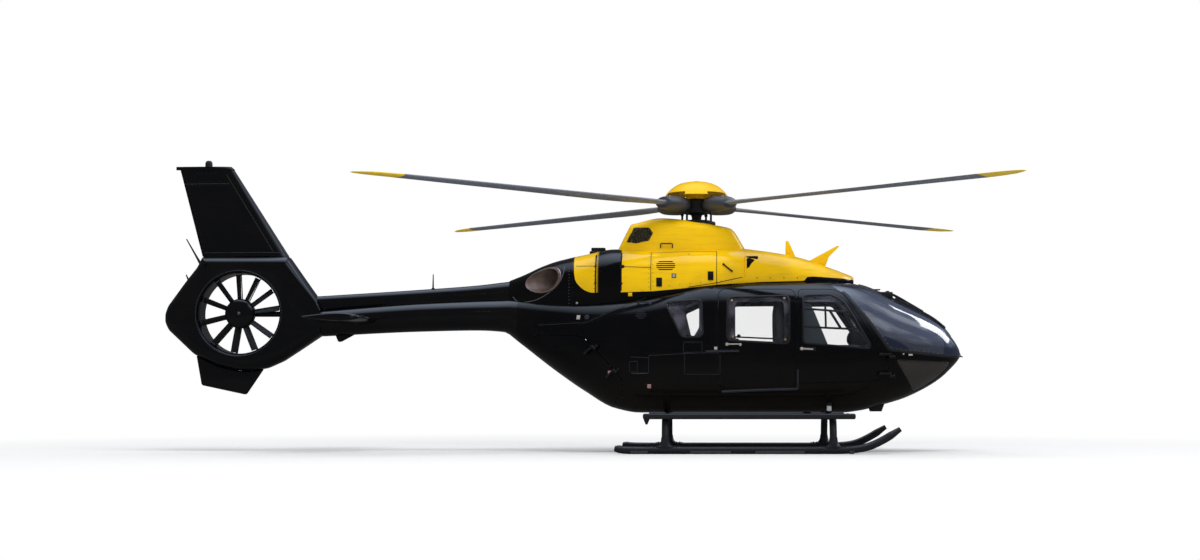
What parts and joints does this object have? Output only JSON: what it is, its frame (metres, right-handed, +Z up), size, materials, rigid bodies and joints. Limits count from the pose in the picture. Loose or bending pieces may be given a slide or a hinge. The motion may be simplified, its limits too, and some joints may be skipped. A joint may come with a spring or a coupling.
{
  "type": "light twin-engine helicopter with ducted tail fan",
  "caption": "Light helicopter on skids with a four-blade rotor, a ducted tail fan, opening crew doors and rear clamshell doors, in black with yellow cowlings.",
  "frame": {"origin": "on the ground under the middle of the whole length and width, with the rotor blades at 45 degrees", "axes": "+X forward to the nose, +Y to port, +Z up"},
  "size_m": [10.58, 7.5462, 3.7449],
  "materials": {
    "black_paint": "glossy black paint over composite skin",
    "yellow_paint": "glossy warm yellow paint over composite skin",
    "acrylic": "clear, lightly tinted glazing",
    "skid_paint": "black paint, worn where feet and ground touch it",
    "blade_paint": "satin grey with yellow tips",
    "hub_metal": "machined steel, greased",
    "fan_metal": "anodised grey",
    "machinery": "plain dark block",
    "burnt_metal": "heat-coloured metal",
    "floor_panel": "textured dark panel",
    "seat_cloth": "woven grey upholstery"
  },
  "bodies": {
    "airframe": {"aft_window_left": "acrylic", "aft_window_right": "acrylic", "belly_panel": "black_paint", "cabin_floor": "floor_panel", "chin_window_left": "acrylic", "chin_window_right": "acrylic", "copilot_seat": "seat_cloth", "cross_tube_front": "skid_paint", "cross_tube_rear": "skid_paint", "engine_cowling_left": "yellow_paint", "engine_cowling_right": "yellow_paint", "engine_left": "machinery", "engine_right": "machinery", "exhaust_fairing": "black_paint", "exhaust_left": "burnt_metal", "exhaust_right": "burnt_metal", "fan_shroud": "black_paint", "fan_stator": "black_paint", "fin_cap": "black_paint", "front_roof_fairing": "yellow_paint", "gearbox": "machinery", "instrument_console": "floor_panel", "nose_panel": "black_paint", "pilot_seat": "seat_cloth", "rear_seats": "seat_cloth", "roof_panel": "black_paint", "shaft_cover": "black_paint", "side_panel_left": "black_paint", "side_panel_right": "black_paint", "skid_left": "skid_paint", "skid_right": "skid_paint", "sliding_door_left": "black_paint", "sliding_door_right": "black_paint", "sliding_window_left": "acrylic", "sliding_window_right": "acrylic", "stabiliser_left": "black_paint", "stabiliser_right": "black_paint", "step_left": "skid_paint", "step_right": "skid_paint", "tail_boom": "black_paint", "tail_fin": "black_paint", "transmission_cowling": "yellow_paint", "ventral_fin": "black_paint", "windshield_left": "acrylic", "windshield_right": "acrylic"},
    "main_rotor": {"rotor_mast": "hub_metal", "hub_dome": "yellow_paint", "swashplate": "hub_metal", "rotor_blade_1": "blade_paint", "rotor_blade_2": "blade_paint", "rotor_blade_3": "blade_paint", "rotor_blade_4": "blade_paint"},
    "tail_fan": {"tail_fan": "fan_metal"},
    "crew_door_left": {"crew_door_left": "black_paint", "crew_window_left": "acrylic"},
    "crew_door_right": {"crew_door_right": "black_paint", "crew_window_right": "acrylic"},
    "clamshell_left": {"clamshell_left": "black_paint"},
    "clamshell_right": {"clamshell_right": "black_paint"}
  },
  "joints": [
    {"name": "main_rotor_spin", "type": "hinge", "parent": "airframe", "child": "main_rotor", "pos_m": [1.5169, 0, 3.16], "axis": [0, 0, 1], "continuous": true},
    {"name": "tail_fan_spin", "type": "hinge", "parent": "airframe", "child": "tail_fan", "pos_m": [-4.327, 0, 1.765], "axis": [0, 1, 0], "continuous": true},
    {"name": "crew_door_left_hinge", "type": "hinge", "parent": "airframe", "child": "crew_door_left", "pos_m": [3.935, 0.735, 1.1], "axis": [0, 0, -1], "range_deg": [0, 80]},
    {"name": "crew_door_right_hinge", "type": "hinge", "parent": "airframe", "child": "crew_door_right", "pos_m": [3.935, -0.735, 1.1], "axis": [0, 0, 1], "range_deg": [0, 80]},
    {"name": "clamshell_left_hinge", "type": "hinge", "parent": "airframe", "child": "clamshell_left", "pos_m": [0.234, 0.73, 1.314], "axis": [0.6772, 0, -0.7358], "range_deg": [0, 85]},
    {"name": "clamshell_right_hinge", "type": "hinge", "parent": "airframe", "child": "clamshell_right", "pos_m": [0.234, -0.73, 1.314], "axis": [-0.6772, 0, 0.7358], "range_deg": [0, 85]}
  ]
}
